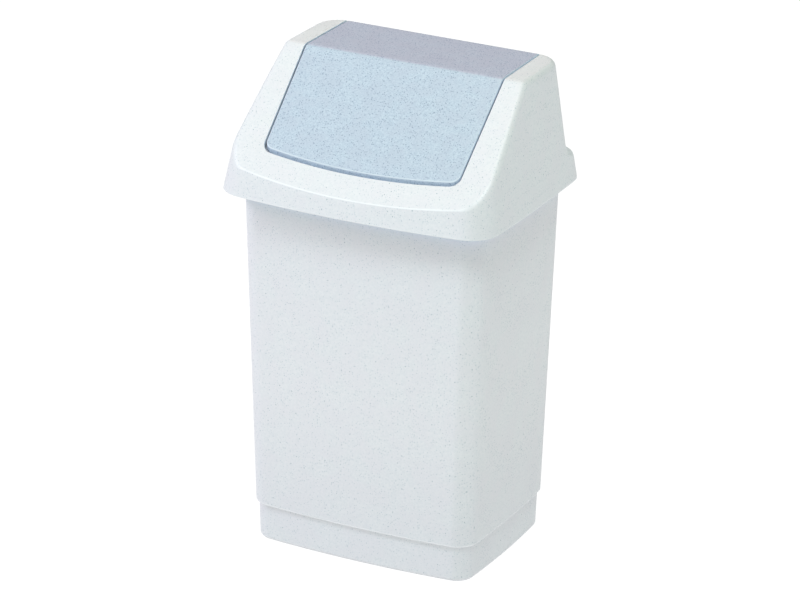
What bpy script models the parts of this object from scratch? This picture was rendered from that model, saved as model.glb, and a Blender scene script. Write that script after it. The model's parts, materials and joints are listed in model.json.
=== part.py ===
# Swing lid bin: an open bucket, a lift-off hood and a flap that swings in the hood.
# Metres, +Z up, the front towards -Y. The origin is on the ground, under the middle of the hood.

import math

import bmesh
import bpy
from mathutils import Vector

# Overall size
total_height = 0.5310
hood_height = 0.1322
skirt_width = 0.3182
skirt_depth = 0.2540
wall = 0.0022
skirt_height = total_height - hood_height

# Bucket, which fits inside the skirt: the skirt stands out round it and laps its rim
rim_lap = 0.0102
skirt_side_reach = 0.0176
skirt_front_reach = 0.0234
skirt_back_reach = 0.0096
bucket_draft_share = 0.0245
rim_height = skirt_height + rim_lap
bucket_draft = bucket_draft_share * rim_height
bucket_width = skirt_width - 2 * (skirt_side_reach + bucket_draft)
bucket_depth = skirt_depth - skirt_front_reach - skirt_back_reach - 2 * bucket_draft
bucket_set_back = (skirt_front_reach - skirt_back_reach) / 2
bucket_corner_radius = 0.0210
bucket_front_bow = 0.0066
bucket_side_bow = 0.0035
plinth_height = 0.0418
plinth_inset = 0.0031
plinth_edge_radius = 0.0010
foot_radius = 0.0045
foot_ring_width = 0.0090
foot_recess = 0.0030
floor_thickness = 0.0025
rim_overhang = 0.0030
rim_depth = 0.0080
rim_edge_radius = 0.0010

# Hood: the skirt, the shoulder behind and the leaning walls
side_lean_share = 0.147
front_lean_share = 0.200
skirt_back_lean_share = 0.100
back_lean_share = 0.025
hood_front_radius = 0.0285
skirt_back_radius = 0.0360
hood_back_radius = 0.0290
hood_front_bow = 0.0115
hood_side_bow = 0.0028
shoulder_low_rise = 0.0256
shoulder_high_rise = 0.0341
shoulder_low_height = skirt_height + shoulder_low_rise
shoulder_high_height = skirt_height + shoulder_high_rise
shoulder_edge_radius = 0.0050
shoulder_root_radius = 0.0075

# Hood: the crown, which is the slope, the bend and the flat top
slope_rise_share = 0.8698
slope_start_rise = 0.01756
shoulder_reach = 0.0261
bend_radius = 0.0110
crown_back_radius = 0.0095
side_crest_radius = 0.0065
front_crease_radius = 0.0018

# Flap
crown_side_margin = 0.02577
crown_low_margin = 0.03957
flap_taper_share = 0.0190
flap_low_bow = 0.0095
flap_corner_radius = 0.0090
flap_back_corner_radius = 0.0030
flap_turn_down = 0.0015
flap_thickness = 0.0020
flap_rim_thickness = 0.0018
flap_low_rim_thickness = 0.0026
flap_side_depth = 0.0065
flap_low_depth = 0.0140
flap_low_ramp = 0.0300
flap_edge_radius = 0.0016
flap_low_edge_radius = 0.0045
flap_low_edge_run = 0.0120

# Opening of the hood, round the flap
side_gap = 0.0016
low_gap = 0.0050
stop_gap = 0.0003
opening_flange_depth = 0.0070
opening_flange_thickness = 0.0018

# Pivot of the flap
pivot_down_slope = 0.0310
pivot_depth = 0.0095
pin_radius = 0.0035
pin_clearance = 0.0003
pin_end_gap = 0.0006
lug_radius = 0.0075
lug_thickness = 0.0024
socket_radius = 0.0085
socket_length = 0.0045
socket_step = 0.0002
snap_bite = 0.0005

# Gussets inside the hood, which stand on the rim of the bucket
gusset_thickness = 0.0018
gusset_lap = 0.0045
gusset_tooth = 0.0070
gusset_tip = 0.0030
gusset_height = 0.0200
seat_gap = 0.0003
locating_gap = 0.0006
gusset_width_shares = (-0.62, 0.0, 0.62)
gusset_depth_shares = (-0.50, 0.50)

# Cutting and facets
overrun = 0.0100
fine_overrun = 0.0006
least_radius_share = 0.25
corner_steps = 6
front_steps = 10
side_steps = 5
bend_steps = 6
round_steps = 16
crest_steps = 3
edge_steps = 3
widest_turn = math.radians(24)
flat_turn = math.radians(0.25)
quarter_turn = math.radians(90)
near_distance = 0.00015
touch_distance = 0.00001
cut_distance = 0.0000001
steep_share = 0.5
level_share = 0.001

# Colours, roughness
white_plastic = (0.78, 0.82, 0.86, 1.0)
blue_plastic = (0.52, 0.66, 0.80, 1.0)
plastic_roughness = 0.42

# Angles and lengths of the crown and the flap, from the sizes above
slope_run = (hood_height - slope_start_rise) / slope_rise_share
top_run = skirt_depth - slope_run - shoulder_reach
bend_turn = math.atan(slope_rise_share)
back_turn = quarter_turn - math.atan(back_lean_share)
bend_tangent = bend_radius * math.tan(bend_turn / 2)
back_tangent = crown_back_radius * math.tan(back_turn / 2)
bend_length = bend_radius * bend_turn
flat_length = top_run - bend_tangent - back_tangent
back_length = crown_back_radius * back_turn
bend_y = slope_run - skirt_depth / 2
flap_half_width = skirt_width / 2 - side_lean_share * hood_height - crown_side_margin
flap_low_end = bend_tangent + crown_low_margin - slope_run / math.cos(bend_turn)
flap_back_end = bend_length + flat_length + back_length + flap_turn_down


def clear_scene():
    for old in list(bpy.data.objects):
        bpy.data.objects.remove(old, do_unlink=True)


def plastic(name, colour):
    material = bpy.data.materials.new(name)
    material.use_nodes = True
    shader = material.node_tree.nodes["Principled BSDF"]
    shader.inputs["Base Color"].default_value = colour
    shader.inputs["Roughness"].default_value = plastic_roughness
    shader.inputs["Metallic"].default_value = 0.0
    return material


def new_object(name, shape):
    bmesh.ops.recalc_face_normals(shape, faces=shape.faces)
    mesh = bpy.data.meshes.new(name)
    shape.to_mesh(mesh)
    shape.free()
    piece = bpy.data.objects.new(name, mesh)
    bpy.context.scene.collection.objects.link(piece)
    return piece


def settle(piece):
    # Turns a piece's modifiers into its mesh.
    depsgraph = bpy.context.evaluated_depsgraph_get()
    mesh = bpy.data.meshes.new_from_object(piece.evaluated_get(depsgraph))
    piece.modifiers.clear()
    piece.data = mesh


def merge_near_points(piece, distance):
    shape = bmesh.new()
    shape.from_mesh(piece.data)
    bmesh.ops.remove_doubles(shape, verts=shape.verts, dist=distance)
    shape.to_mesh(piece.data)
    shape.free()


def combine(piece, tool, operation):
    step = piece.modifiers.new(operation.lower(), "BOOLEAN")
    step.operation = operation
    step.object = tool
    step.solver = "EXACT"
    settle(piece)
    bpy.data.objects.remove(tool, do_unlink=True)
    merge_near_points(piece, touch_distance)


# Outlines and paths

def fillet(before, corner, after, radius):
    # The arc that rounds one corner of a path, as points.
    into = (corner - before).normalized()
    out = (after - corner).normalized()
    turn = into.angle_signed(out)
    if radius <= 0 or abs(turn) < 1e-6:
        return [corner]
    start = corner - into * (radius * math.tan(abs(turn) / 2))
    side = math.copysign(1, -turn)
    spoke = Vector((into.y, -into.x)) * side
    centre = start - spoke * radius
    steps = max(2, math.ceil(abs(turn) / widest_turn))
    points = []
    for index in range(steps + 1):
        angle = side * abs(turn) * index / steps
        turned = Vector((spoke.x * math.cos(angle) - spoke.y * math.sin(angle),
                         spoke.x * math.sin(angle) + spoke.y * math.cos(angle)))
        points.append(centre + turned * radius)
    return points


def rounded_path(corners):
    # An open path through corners given as (across, up, radius).
    places = [Vector(corner[:2]) for corner in corners]
    points = [places[0]]
    for index in range(1, len(corners) - 1):
        points += fillet(*places[index - 1:index + 2], corners[index][2])
    points.append(places[-1])
    return points


def outline(half_width, front, back, radii, bows, middle):
    # A rounded rectangle with bowed sides, anticlockwise from its front right corner.
    # The bows fade out towards the middle of its depth.
    front_radius, back_radius = radii
    front_bow, side_bow, back_bow = bows
    corners = [(half_width - front_radius, front + front_radius, front_radius, -90, side_steps),
               (half_width - back_radius, back - back_radius, back_radius, 0, front_steps),
               (back_radius - half_width, back - back_radius, back_radius, 90, side_steps),
               (front_radius - half_width, front + front_radius, front_radius, 180, front_steps)]
    arcs = []
    for x, y, radius, first, _ in corners:
        arc = []
        for index in range(corner_steps + 1):
            angle = math.radians(first + 90 * index / corner_steps)
            arc.append(Vector((x + radius * math.cos(angle), y + radius * math.sin(angle))))
        arcs.append(arc)
    points = []
    for index, arc in enumerate(arcs):
        points += arc
        after = arcs[(index + 1) % len(arcs)][0]
        steps = corners[index][4]
        points += [arc[-1].lerp(after, step / steps) for step in range(1, steps)]
    bowed = []
    for point in points:
        across = point.x / half_width
        along = (point.y - middle) / (middle - front)
        draw_in = front_bow * max(-along, 0) - back_bow * max(along, 0)
        bowed.append((point.x - side_bow * across * along ** 2, point.y + draw_in * across ** 2))
    return bowed


def loft(name, rings):
    # A closed solid through rings of equal count, with a flat face on the first and the last.
    shape = bmesh.new()
    rows = [[shape.verts.new(point) for point in ring] for ring in rings]
    count = len(rows[0])
    for lower, upper in zip(rows, rows[1:]):
        for index in range(count):
            after = (index + 1) % count
            shape.faces.new((lower[index], lower[after], upper[after], upper[index]))
    shape.faces.new(list(reversed(rows[0])))
    shape.faces.new(rows[-1])
    return new_object(name, shape)


def prism(name, outline_points, start, end):
    # A solid between two copies of an outline, which start and end place in space.
    return loft(name, [[start(point) for point in outline_points],
                       [end(point) for point in outline_points]])


def cylinder_across(name, centre, radius, start_x, end_x):
    points = []
    for index in range(round_steps):
        angle = 2 * math.pi * index / round_steps
        points.append((centre[0] + radius * math.cos(angle), centre[1] + radius * math.sin(angle)))
    return prism(name, points, lambda p: (start_x, *p), lambda p: (end_x, *p))


# Bucket

def bucket_ring(inset, height):
    spread = bucket_draft_share * height - inset
    radius = max(bucket_corner_radius - inset, bucket_corner_radius * least_radius_share)
    points = outline(bucket_width / 2 + spread,
                     bucket_set_back - bucket_depth / 2 - spread,
                     bucket_set_back + bucket_depth / 2 + spread,
                     (radius, radius),
                     (bucket_front_bow, bucket_side_bow, bucket_front_bow),
                     bucket_set_back)
    return [(x, y, height) for x, y in points]


def make_bucket():
    floor = foot_recess + floor_thickness
    ring_inner = plinth_inset + foot_radius + foot_ring_width
    rim_root = rim_height - rim_depth
    path = rounded_path([
        (ring_inner + foot_recess, foot_recess, 0),
        (ring_inner, foot_recess, 0),
        (ring_inner, 0, 0),
        (plinth_inset, 0, foot_radius),
        (plinth_inset, plinth_height, 0),
        (0, plinth_height, plinth_edge_radius),
        (0, rim_root - rim_overhang, 0),
        (-rim_overhang, rim_root, 0),
        (-rim_overhang, rim_height, rim_edge_radius),
        (wall, rim_height, rim_edge_radius),
        (wall, plinth_height + wall, 0),
        (wall + plinth_inset, plinth_height, 0),
        (wall + plinth_inset, floor, foot_radius - wall),
        (ring_inner, floor, 0)])
    return loft("bucket", [bucket_ring(inset, height) for inset, height in path])


def rim_block(clearance):
    # The space that the rim takes, filled, and grown all round by a clearance.
    low = bucket_ring(-rim_overhang - clearance, skirt_height - overrun)
    high = bucket_ring(-rim_overhang - clearance, rim_height)
    top = [(x, y, rim_height + seat_gap) for x, y, _ in high]
    return loft("rim_block", [low, top])


# Crown: places on its outer surface, by the run along it from where the bend starts

def crown_place(run, depth):
    # The point at a run along the crown and a depth under its outer surface, as (y, z).
    along_slope = Vector((math.cos(bend_turn), math.sin(bend_turn)))
    slope_normal = Vector((-along_slope.y, along_slope.x))
    bend_corner = Vector((bend_y, total_height))
    bend_start = bend_corner - along_slope * bend_tangent
    bend_end = bend_corner + Vector((bend_tangent, 0))
    back_start = bend_end + Vector((flat_length, 0))
    if run <= 0:
        return bend_start + along_slope * run - slope_normal * depth
    if run <= bend_length:
        angle = bend_turn * (1 - run / bend_length)
        spoke = Vector((-math.sin(angle), math.cos(angle)))
        return bend_end - Vector((0, bend_radius)) + spoke * (bend_radius - depth)
    run -= bend_length
    if run <= flat_length:
        return bend_end + Vector((run, -depth))
    run -= flat_length
    angle = back_turn * min(run / back_length, 1)
    spoke = Vector((math.sin(angle), math.cos(angle)))
    turned = back_start - Vector((0, crown_back_radius)) + spoke * (crown_back_radius - depth)
    down = Vector((math.cos(back_turn), -math.sin(back_turn)))
    return turned + down * max(run - back_length, 0)


def crown_turns():
    # The runs at which the crown's facets meet, over the bend and over the back edge.
    turns = [bend_length * step / bend_steps for step in range(bend_steps + 1)]
    back_start = bend_length + flat_length
    turns += [back_start + back_length * step / bend_steps for step in range(bend_steps + 1)]
    return turns


def wrap_on_crown(piece):
    # Bends a flat piece, with x across, y as the run and z as minus the depth, onto the crown.
    shape = bmesh.new()
    shape.from_mesh(piece.data)
    for run in crown_turns():
        everything = shape.verts[:] + shape.edges[:] + shape.faces[:]
        bmesh.ops.bisect_plane(shape, geom=everything, plane_co=(0, run, 0), plane_no=(0, 1, 0),
                               dist=cut_distance)
    for vertex in shape.verts:
        place = crown_place(vertex.co.y, -vertex.co.z)
        vertex.co = (vertex.co.x, place.x, place.y)
    bmesh.ops.recalc_face_normals(shape, faces=shape.faces)
    shape.to_mesh(piece.data)
    shape.free()


def flap_outline(grow, low_grow, back_grow, corner_grow):
    # The flap's flat outline as (x, run), grown outwards by the lengths given.
    points = outline(flap_half_width + grow,
                     flap_low_end - low_grow,
                     flap_back_end + back_grow,
                     (max(flap_corner_radius + corner_grow, flap_corner_radius * least_radius_share),
                      max(flap_back_corner_radius + corner_grow,
                          flap_back_corner_radius * least_radius_share)),
                     (flap_low_bow, 0, 0),
                     0)
    half = flap_half_width + grow
    return [(x - flap_taper_share * abs(run) * x / half, run) for x, run in points]


def opening_outline(grow):
    return flap_outline(side_gap + grow, low_gap + grow, stop_gap + grow, side_gap + grow)


def crown_block(name, flat_points, shallow, deep):
    block = prism(name, flat_points, lambda p: (*p, -deep), lambda p: (*p, -shallow))
    wrap_on_crown(block)
    return block


# Hood

def shoulder_path(inset):
    # The hood's back wall in section as (y, z), moved inwards square to itself by an inset.
    skirt_back = skirt_depth / 2
    skirt_rise = shoulder_low_height - skirt_height
    back_top = bend_y + top_run
    back_drop = total_height - shoulder_high_height
    corners = [Vector((skirt_back, skirt_height)),
               Vector((skirt_back - skirt_back_lean_share * skirt_rise, shoulder_low_height)),
               Vector((back_top + back_lean_share * back_drop, shoulder_high_height)),
               Vector((back_top, total_height))]
    lines = []
    for start, end in zip(corners, corners[1:]):
        along = (end - start).normalized()
        lines.append((start + Vector((-along.y, along.x)) * inset, along))
    met = [line_meeting(lines[0], lines[1]), line_meeting(lines[1], lines[2])]
    first = at_height(lines[0], skirt_height - (overrun if inset > 0 else 0))
    last = at_height(lines[2], total_height + overrun)
    return rounded_path([(*first, 0),
                         (*met[0], shoulder_edge_radius - inset),
                         (*met[1], shoulder_root_radius + inset),
                         (*last, 0)])


def line_meeting(first, second):
    start, along = first
    other, across = second
    normal = Vector((-across.y, across.x))
    return start + along * ((other - start).dot(normal) / along.dot(normal))


def at_height(line, height):
    start, along = line
    return start + along * ((height - start.y) / along.y)


def hood_ring(back, height, inset):
    rise = height - skirt_height
    skirt_back = skirt_depth / 2
    wall_back = bend_y + top_run
    follow = min(max((back + inset - wall_back) / (skirt_back - wall_back), 0), 1)
    back_radius = hood_back_radius + (skirt_back_radius - hood_back_radius) * follow - inset
    points = outline(skirt_width / 2 - side_lean_share * rise - inset,
                     front_lean_share * rise + inset - skirt_depth / 2,
                     back,
                     (hood_front_radius - inset, back_radius),
                     (hood_front_bow, hood_side_bow, 0),
                     0)
    return [(x, y, height) for x, y in points]


def crown_section(inset):
    # The crown in section as (y, z), closed far outside the hood's walls.
    far = skirt_depth
    low = skirt_height - far
    points = [crown_place(-far, inset)]
    points += [crown_place(bend_length * step / bend_steps, inset) for step in range(bend_steps + 1)]
    points.append(Vector((far, total_height - inset)))
    return points + [Vector((far, low)), Vector((points[0].x, low))]


def weigh_crest(piece, inset):
    # Marks the edge where the crown meets the walls, with the radius that each part of it has.
    mesh = piece.data
    weights = mesh.attributes.new("bevel_weight_edge", "FLOAT", "EDGE")
    shape = bmesh.new()
    shape.from_mesh(mesh)
    layer = shape.edges.layers.float["bevel_weight_edge"]
    widest = crown_back_radius - inset
    for edge in shape.edges:
        if len(edge.link_faces) != 2:
            continue
        crown_face, wall_face = sorted(edge.link_faces, key=lambda face: -face.normal.z)
        middle = (edge.verts[0].co + edge.verts[1].co) / 2
        slope_here = total_height - inset - slope_rise_share * (bend_y - middle.y)
        on_crown = middle.z > min(total_height - inset, slope_here) - bend_radius
        steep = wall_face.normal.z < steep_share < crown_face.normal.z
        if not (steep and on_crown and abs(crown_face.normal.x) < level_share):
            continue
        if middle.y > 0 and middle.z < shoulder_high_height + crown_back_radius:
            continue
        aside = min(abs(wall_face.normal.x), 1)
        blend = aside * aside * (3 - 2 * aside)
        square = front_crease_radius if wall_face.normal.y < 0 else crown_back_radius
        radius = square + (side_crest_radius - square) * blend
        edge[layer] = max(radius - inset, 0) / widest
    shape.to_mesh(mesh)
    shape.free()
    return weights


def merge_flat_faces(piece):
    # Joins the faces that lie in one plane, so that the walls are whole where the crown cuts them.
    shape = bmesh.new()
    shape.from_mesh(piece.data)
    bmesh.ops.dissolve_limit(shape, angle_limit=flat_turn, verts=shape.verts, edges=shape.edges)
    shape.to_mesh(piece.data)
    shape.free()


def hood_form(name, inset):
    # The hood's outer form, or with an inset the hollow inside its walls.
    form = loft(name, [hood_ring(back, height, inset) for back, height in shoulder_path(inset)])
    merge_flat_faces(form)
    section = crown_section(inset)
    crown = prism("crown", section, lambda p: (-skirt_width, *p), lambda p: (skirt_width, *p))
    combine(form, crown, "INTERSECT")
    merge_near_points(form, near_distance)
    weigh_crest(form, inset)
    bevel = form.modifiers.new("crest", "BEVEL")
    bevel.limit_method = "WEIGHT"
    bevel.width = crown_back_radius - inset
    bevel.segments = crest_steps
    bevel.use_clamp_overlap = False
    bevel.loop_slide = False
    settle(form)
    return form


def gusset(name, place, outward, reach):
    # A plate square to the wall: a tooth outside the rim and a seat over it, under a sloping top.
    low = rim_height - gusset_tooth
    outer = reach + skirt_depth
    section = [(reach - gusset_lap, low), (outer, low),
               (outer, rim_height + gusset_height + (outer - reach)),
               (reach + gusset_lap, rim_height + gusset_height),
               (reach - gusset_lap, rim_height + gusset_tip)]
    sideways = Vector((-outward.y, outward.x))

    def side(offset):
        base = place + sideways * offset
        return lambda p: (base.x + outward.x * p[0], base.y + outward.y * p[0], p[1])

    return prism(name, section, side(-gusset_thickness / 2), side(gusset_thickness / 2))


def make_gussets():
    half_width = bucket_width / 2 + bucket_draft
    half_depth = bucket_depth / 2 + bucket_draft
    plates = []
    for share in gusset_width_shares:
        x = half_width * share
        reach = half_depth - bucket_front_bow * share ** 2
        for outward in (Vector((0, -1)), Vector((0, 1))):
            plates.append(gusset("gusset", Vector((x, bucket_set_back)), outward, reach))
    for share in gusset_depth_shares:
        y = bucket_set_back + half_depth * share
        reach = half_width - bucket_side_bow * share ** 2
        for outward in (Vector((-1, 0)), Vector((1, 0))):
            plates.append(gusset("gusset", Vector((0, y)), outward, reach))
    joined = plates[0]
    for plate in plates[1:]:
        combine(joined, plate, "UNION")
    combine(joined, rim_block(locating_gap), "DIFFERENCE")
    combine(joined, hood_form("inner", wall / 2), "INTERSECT")
    return joined


def pivot_place():
    return crown_place(bend_tangent - pivot_down_slope, pivot_depth)


def half_width_at_pivot():
    return flap_half_width - flap_taper_share * abs(bend_tangent - pivot_down_slope)


def snap_slot(side):
    # The lead-in below a socket, a little narrower than the pin.
    centre = pivot_place()
    inward = Vector((math.sin(bend_turn), -math.cos(bend_turn)))
    across = Vector((math.cos(bend_turn), math.sin(bend_turn)))
    half = pin_radius - snap_bite
    deep = socket_radius + overrun
    corners = [centre - across * half, centre + across * half,
               centre + across * half + inward * deep, centre - across * half + inward * deep]
    near = side * half_width_at_pivot()
    far = side * (half_width_at_pivot() + side_gap + socket_step + socket_length + overrun)
    return prism("slot", corners, lambda p: (near, *p), lambda p: (far, *p))


def make_hood():
    hood = hood_form("hood", 0)
    combine(hood, hood_form("hollow", wall), "DIFFERENCE")
    combine(hood, make_gussets(), "UNION")
    flange = crown_block("flange", opening_outline(opening_flange_thickness),
                         wall / 2, opening_flange_depth)
    combine(hood, flange, "UNION")
    socket_start = half_width_at_pivot() + side_gap + socket_step
    for side in (-1, 1):
        socket = cylinder_across("socket", pivot_place(), socket_radius,
                                 side * socket_start, side * (socket_start + socket_length))
        combine(hood, socket, "UNION")
    opening = crown_block("opening", opening_outline(0),
                          -overrun, opening_flange_depth + fine_overrun)
    combine(hood, opening, "DIFFERENCE")
    for side in (-1, 1):
        hole = cylinder_across("hole", pivot_place(), pin_radius + pin_clearance,
                               side * half_width_at_pivot(),
                               side * (socket_start + socket_length + overrun))
        combine(hood, hole, "DIFFERENCE")
        combine(hood, snap_slot(side), "DIFFERENCE")
    return hood


# Flap

def low_share(run, ramp_run):
    # 1 along the flap's lower edge, fading to 0 over a run up its sides.
    return min(max((flap_low_end + flap_low_bow + ramp_run - run) / ramp_run, 0), 1)


def flap_rim_ring(inset, low_inset, depth):
    # Depth None follows the rim's own depth, which is larger along the lower edge.
    ring = []
    for x, run in flap_outline(-inset, -low_inset, -inset, -inset):
        own = flap_side_depth + (flap_low_depth - flap_side_depth) * low_share(run, flap_low_ramp)
        ring.append((x, run, -(own if depth is None else depth)))
    return ring


def flap_edge_ring(angle):
    # A ring of the rounded edge, which is softer along the lower side.
    inset = flap_edge_radius * (1 - math.cos(angle))
    low_inset = flap_low_edge_radius * (1 - math.cos(angle))
    ring = []
    for x, run in flap_outline(-inset, -low_inset, -inset, -inset):
        share = low_share(run, flap_low_edge_run)
        radius = flap_edge_radius + (flap_low_edge_radius - flap_edge_radius) * share
        ring.append((x, run, -radius * (1 - math.sin(angle))))
    return ring


def make_flap():
    rings = [flap_rim_ring(flap_rim_thickness, flap_low_rim_thickness, flap_thickness),
             flap_rim_ring(flap_rim_thickness, flap_low_rim_thickness, None),
             flap_rim_ring(0, 0, None)]
    rings += [flap_edge_ring(quarter_turn * step / edge_steps) for step in range(edge_steps + 1)]
    flap = loft("flap", rings)
    wrap_on_crown(flap)
    lug_end = half_width_at_pivot() - socket_step
    pin_end = half_width_at_pivot() + side_gap + socket_step + socket_length - pin_end_gap
    for side in (-1, 1):
        lug = cylinder_across("lug", pivot_place(), lug_radius,
                              side * (lug_end - lug_thickness), side * lug_end)
        combine(flap, lug, "UNION")
        pin = cylinder_across("pin", pivot_place(), pin_radius,
                              side * (lug_end - lug_thickness / 2), side * pin_end)
        combine(flap, pin, "UNION")
    return flap


def finish(piece, material, origin):
    piece.data.materials.clear()
    piece.data.materials.append(material)
    for vertex in piece.data.vertices:
        vertex.co = vertex.co - origin
    piece.location = origin
    piece.data.shade_smooth()
    piece.data.set_sharp_from_angle(angle=widest_turn)


def build():
    clear_scene()
    white = plastic("speckled_white_plastic", white_plastic)
    blue = plastic("speckled_blue_plastic", blue_plastic)
    finish(make_bucket(), white, Vector((0, 0, 0)))
    finish(make_hood(), white, Vector((0, 0, skirt_height)))
    finish(make_flap(), blue, Vector((0, *pivot_place())))


build()
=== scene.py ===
import bisect
import json
import math

import bmesh
import bpy
from mathutils import Matrix, Vector, kdtree


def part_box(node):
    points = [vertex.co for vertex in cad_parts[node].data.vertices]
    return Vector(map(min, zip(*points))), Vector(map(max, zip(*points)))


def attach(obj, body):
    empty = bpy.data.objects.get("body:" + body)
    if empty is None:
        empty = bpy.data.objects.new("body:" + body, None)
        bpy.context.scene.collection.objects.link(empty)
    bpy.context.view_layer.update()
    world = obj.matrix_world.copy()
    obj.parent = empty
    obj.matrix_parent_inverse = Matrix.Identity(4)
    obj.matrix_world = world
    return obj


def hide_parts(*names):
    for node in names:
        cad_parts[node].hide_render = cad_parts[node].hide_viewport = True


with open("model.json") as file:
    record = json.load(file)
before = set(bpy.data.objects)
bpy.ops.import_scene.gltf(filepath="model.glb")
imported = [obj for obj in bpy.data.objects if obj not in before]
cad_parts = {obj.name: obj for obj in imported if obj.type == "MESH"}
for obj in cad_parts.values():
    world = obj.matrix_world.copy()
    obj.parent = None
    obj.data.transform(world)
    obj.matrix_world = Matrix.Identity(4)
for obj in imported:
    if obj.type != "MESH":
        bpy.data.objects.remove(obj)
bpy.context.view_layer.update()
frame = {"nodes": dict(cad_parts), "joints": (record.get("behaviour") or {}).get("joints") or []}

# Swing lid bin. Everything is in metres, +Z up, the front towards -Y.
_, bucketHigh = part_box("bucket")
hoodLow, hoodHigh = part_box("hood")
swingJoint = [joint for joint in frame["joints"] if joint["name"] == "flap_swing"][0]
pivotPlace = Vector(swingJoint["pos_m"][1:])
print("frame loaded:", ", ".join(sorted(frame["nodes"])))


# Shapes that every piece uses

tinyLength = 0.00001
markReach = 0.00005             # within which a vertex counts as on a marked edge
cutOverrun = 0.01
sharpAngle = 32                 # in degrees, above which an edge stays sharp
roundSteps = 48


def spread(start, end, steps):
    # values from start to end, without the start
    return [start + (end - start) * step / steps for step in range(1, steps + 1)]


def easeShare(share):
    share = min(max(share, 0), 1)
    return share * share * (3 - 2 * share)


def lineMeeting(first, second):
    start, along = first
    other, across = second
    normal = Vector((-across.y, across.x))
    return start + along * ((other - start).dot(normal) / along.dot(normal))


def roundedPath(corners, arcSteps):
    # an open path through corners given as (across, up, radius)
    places = [Vector(corner[:2]) for corner in corners]
    points = [places[0]]
    for index in range(1, len(corners) - 1):
        radius = corners[index][2]
        into = (places[index] - places[index - 1]).normalized()
        out = (places[index + 1] - places[index]).normalized()
        turn = -into.angle_signed(out)
        side = math.copysign(1, turn)
        spoke = Vector((into.y, -into.x)) * side
        centre = places[index] - into * (radius * math.tan(abs(turn) / 2)) - spoke * radius
        for step in range(arcSteps + 1):
            angle = turn * step / arcSteps
            points.append(centre + radius * Vector((
                spoke.x * math.cos(angle) - spoke.y * math.sin(angle),
                spoke.x * math.sin(angle) + spoke.y * math.cos(angle))))
    points.append(places[-1])
    return points


def quarterArc(radius, steps):
    # a rounded edge as pairs of how far it lies in from one face and under the other
    angles = [math.radians(90 * step / steps) for step in range(steps + 1)]
    return [(radius * (1 - math.cos(angle)), radius * (1 - math.sin(angle))) for angle in angles]


def outlineColumns(steps):
    # the right half of an outline from the front middle to the back middle, as (part, share)
    columns = [("front", step / steps["front"]) for step in range(steps["front"])]
    columns += [("frontCorner", step / steps["corner"]) for step in range(steps["corner"])]
    columns += [("side", share) for share in [0] + steps["sideShares"][:-1]]
    columns += [("backCorner", step / steps["corner"]) for step in range(steps["corner"])]
    return columns + [("back", step / steps["back"]) for step in range(steps["back"] + 1)]


def outlinePoint(column, halfWidth, front, back, radii):
    part, share = column
    frontRadius, backRadius = radii
    if part == "front":
        return Vector(((halfWidth - frontRadius) * share, front))
    if part == "side":
        start, end = front + frontRadius, back - backRadius
        return Vector((halfWidth, start + (end - start) * share))
    if part == "back":
        return Vector(((halfWidth - backRadius) * (1 - share), back))
    radius = frontRadius if part == "frontCorner" else backRadius
    angle = math.radians(90 * share - (90 if part == "frontCorner" else 0))
    centreY = front + radius if part == "frontCorner" else back - radius
    return Vector((halfWidth - radius + radius * math.cos(angle), centreY + radius * math.sin(angle)))


def bowed(point, halfWidth, front, middle, bows):
    # draws the corners of an outline in, which leaves its sides bowed
    frontBow, sideBow, backBow = bows
    across = point.x / halfWidth
    along = (point.y - middle) / (middle - front)
    drawIn = frontBow * max(-along, 0) - backBow * max(along, 0)
    return Vector((point.x - sideBow * across * along ** 2, point.y + drawIn * across ** 2))


def bothHalves(half):
    # the whole outline, anticlockwise from the front middle
    left = [Vector((-point.x, *point[1:])) for point in reversed(half[1:-1])]
    return half + left


def newPiece(name, mesh):
    # a linked object from a bmesh
    data = bpy.data.meshes.new(name)
    mesh.to_mesh(data)
    mesh.free()
    piece = bpy.data.objects.new(name, data)
    bpy.context.scene.collection.objects.link(piece)
    return piece


def capFaces(ring, flatFrom):
    # closes a ring with faces that run straight across it, and one face over its flat part
    count = len(ring)
    last = count // 2 - 1
    while ring[last][1] > min(flatFrom, ring[count // 2][1] - tinyLength):
        last -= 1
    faces = [(count - 1, 0, 1)]
    faces += [(index, index + 1, count - index - 1, count - index) for index in range(1, last)]
    faces.append(tuple(range(last, count - last + 1)))
    return faces


def solidThroughRings(name, rings, place=None, flatFrom=math.inf):
    # a closed solid through rings of equal count; place puts its points where they belong
    mesh = bmesh.new()
    rows = []
    for ring in rings:
        rows.append([mesh.verts.new(place(point) if place else point) for point in ring])
    count = len(rows[0])
    for lower, upper in zip(rows, rows[1:]):
        for index in range(count):
            after = (index + 1) % count
            mesh.faces.new((lower[index], lower[after], upper[after], upper[index]))
    for row, ring in ((rows[0], rings[0]), (rows[-1], rings[-1])):
        for face in capFaces(ring, flatFrom):
            mesh.faces.new([row[index] for index in face])
    bmesh.ops.recalc_face_normals(mesh, faces=mesh.faces)
    return newPiece(name, mesh)


def applyModifiers(piece):
    depsgraph = bpy.context.evaluated_depsgraph_get()
    data = bpy.data.meshes.new_from_object(piece.evaluated_get(depsgraph))
    piece.modifiers.clear()
    piece.data = data


def combine(piece, tool, operation):
    step = piece.modifiers.new(operation.lower(), "BOOLEAN")
    step.operation = operation
    step.object = tool
    step.solver = "EXACT"
    applyModifiers(piece)
    bpy.data.objects.remove(tool, do_unlink=True)
    mesh = bmesh.new()
    mesh.from_mesh(piece.data)
    bmesh.ops.remove_doubles(mesh, verts=mesh.verts, dist=tinyLength)
    mesh.to_mesh(piece.data)
    mesh.free()


def joinMeshes(name, pieces):
    mesh = bmesh.new()
    for piece in pieces:
        mesh.from_mesh(piece.data)
        bpy.data.objects.remove(piece, do_unlink=True)
    return newPiece(name, mesh)


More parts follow.
